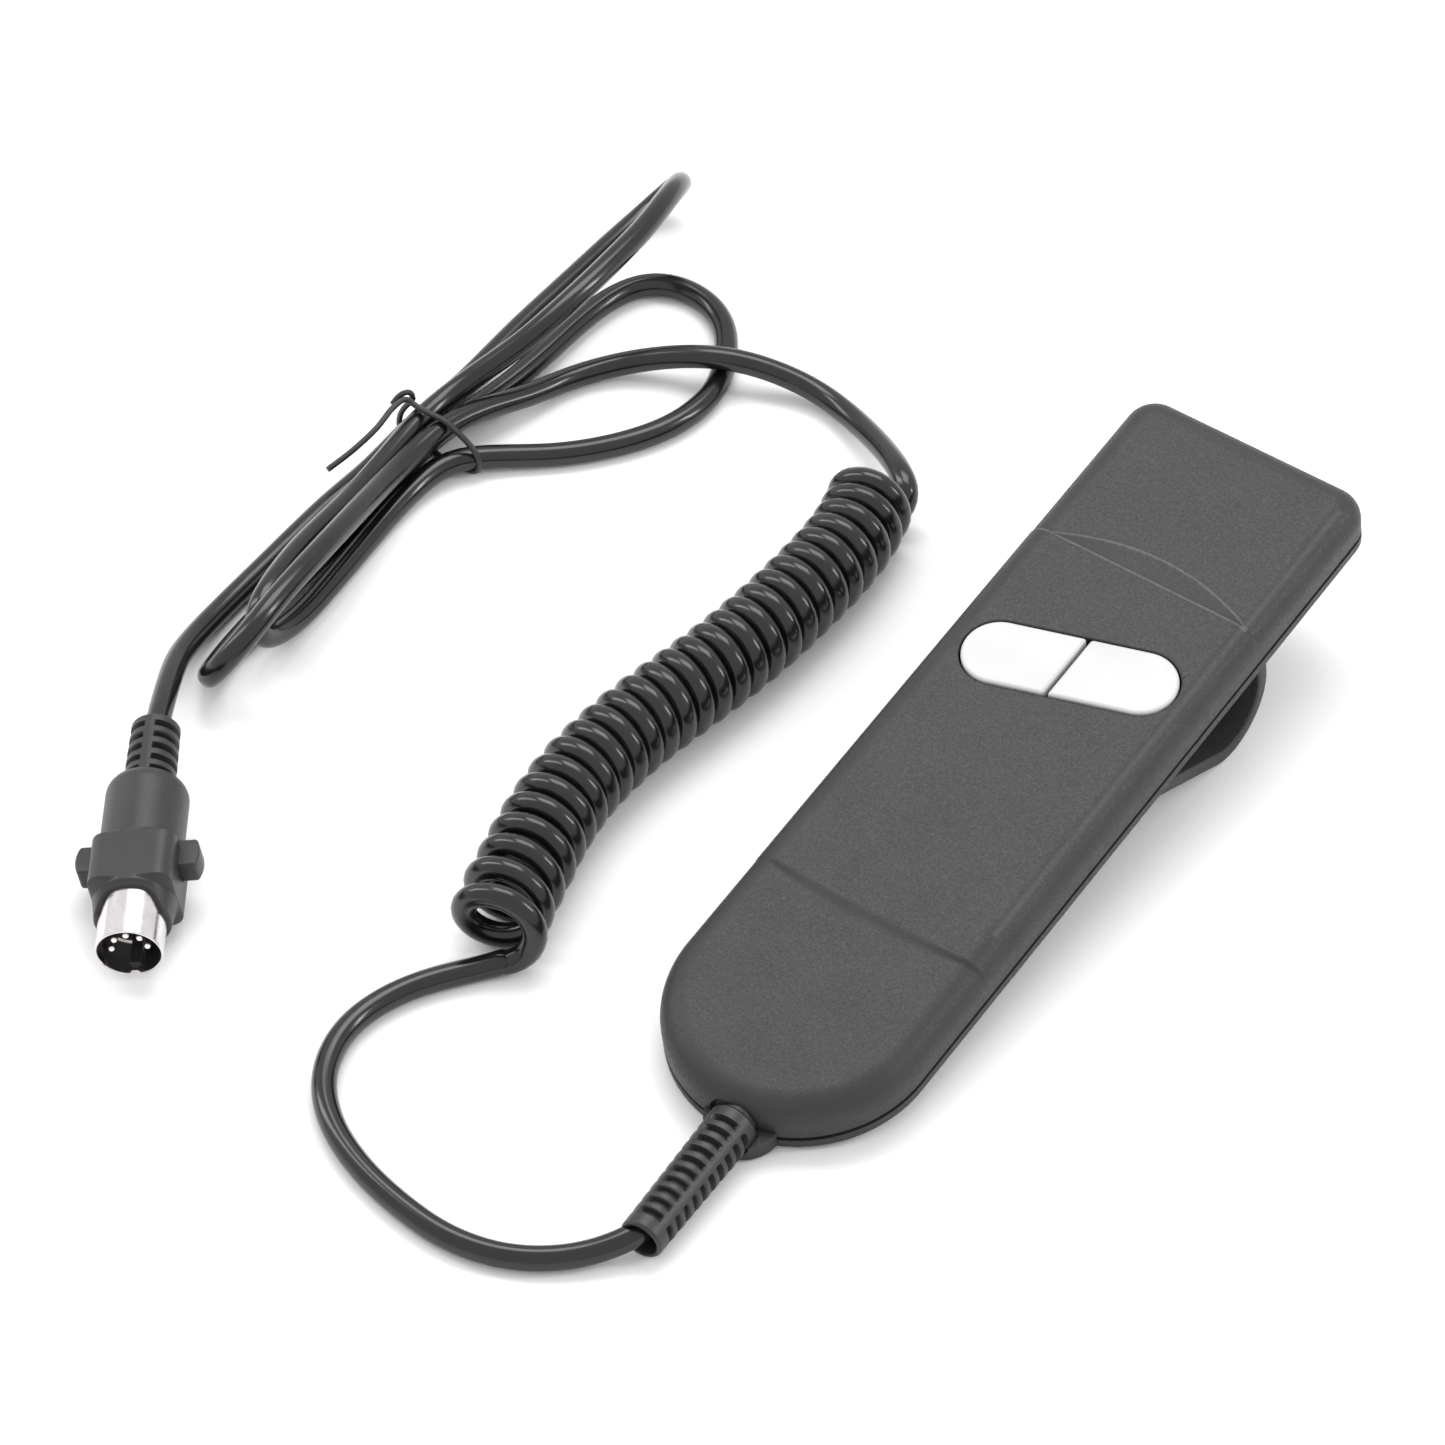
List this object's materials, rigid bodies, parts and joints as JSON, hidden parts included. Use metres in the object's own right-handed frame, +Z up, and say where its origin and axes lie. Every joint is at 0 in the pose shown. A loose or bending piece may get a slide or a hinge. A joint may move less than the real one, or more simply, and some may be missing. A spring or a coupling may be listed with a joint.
{
  "type": "hand control",
  "caption": "Slim two-button hand control with a hanger hook, a curly cord with a tied hank, and a round five-pin plug with side latches.",
  "frame": {"origin": "on the surface, below the centre of the case's bounding box", "axes": "+Y along the case's length towards its square end, +X across it, +Z up from the surface"},
  "size_m": [0.1903, 0.2582, 0.0384],
  "materials": {
    "case_plastic": "fine grained",
    "key_plastic": "satin",
    "cord_vinyl": "semi-gloss",
    "plug_rubber": "satin",
    "shell_nickel": "polished nickel",
    "pin_metal": "bright",
    "insulator_plastic": "matt",
    "screw_steel": "zinc plated",
    "board_laminate": "solder mask",
    "switch_plastic": "matt",
    "plunger_plastic": "matt",
    "wire_insulation": "semi-gloss",
    "tie_plastic": "satin"
  },
  "bodies": {
    "control": {"front_shell": "case_plastic", "back_shell": "case_plastic", "hanger_hook": "case_plastic", "hook_screws": "screw_steel", "case_screws": "screw_steel", "board_screws": "screw_steel", "clamp_screws": "screw_steel", "switch_left": "switch_plastic", "switch_right": "switch_plastic", "circuit_board": "board_laminate", "cable_clamp": "switch_plastic", "inner_wires": "wire_insulation", "strain_relief": "plug_rubber", "cord_inside": "cord_vinyl", "cord_lead": "cord_vinyl", "cord_coil": "cord_vinyl", "cord_tail": "cord_vinyl", "cord_loop_a": "cord_vinyl", "cord_loop_b": "cord_vinyl", "cord_hank": "cord_vinyl", "cord_end": "cord_vinyl", "twist_tie": "tie_plastic", "plug_boot": "plug_rubber", "plug_body": "plug_rubber", "plug_shell": "shell_nickel", "plug_insulator": "insulator_plastic", "plug_pins": "pin_metal"},
    "left_key": {"key_left": "key_plastic"},
    "right_key": {"key_right": "key_plastic"},
    "left_plunger": {"plunger_left": "plunger_plastic"},
    "right_plunger": {"plunger_right": "plunger_plastic"},
    "left_latch": {"latch_left": "plug_rubber"},
    "right_latch": {"latch_right": "plug_rubber"}
  },
  "joints": [
    {"name": "left_key_press", "type": "slide", "parent": "control", "child": "left_key", "axis": [0, 0.1493, -0.9888], "range_m": [0, 0.0006], "stiffness_N_per_m": 2000},
    {"name": "right_key_press", "type": "slide", "parent": "control", "child": "right_key", "axis": [0, 0.1493, -0.9888], "range_m": [0, 0.0006], "stiffness_N_per_m": 2000},
    {"name": "left_plunger_travel", "type": "slide", "parent": "control", "child": "left_plunger", "axis": [0, 0.1493, -0.9888], "range_m": [0, 0.0006]},
    {"name": "right_plunger_travel", "type": "slide", "parent": "control", "child": "right_plunger", "axis": [0, 0.1493, -0.9888], "range_m": [0, 0.0006]},
    {"name": "left_latch_press", "type": "slide", "parent": "control", "child": "left_latch", "axis": [0.8281, 0.5383, 0.1562], "range_m": [0, 0.0008], "stiffness_N_per_m": 3000},
    {"name": "right_latch_press", "type": "slide", "parent": "control", "child": "right_latch", "axis": [-0.8281, -0.5383, -0.1562], "range_m": [0, 0.0008], "stiffness_N_per_m": 3000}
  ],
  "couplings": [
    {"joint": "left_plunger_travel", "follows": "left_key_press", "ratio": 1},
    {"joint": "right_plunger_travel", "follows": "right_key_press", "ratio": 1}
  ]
}
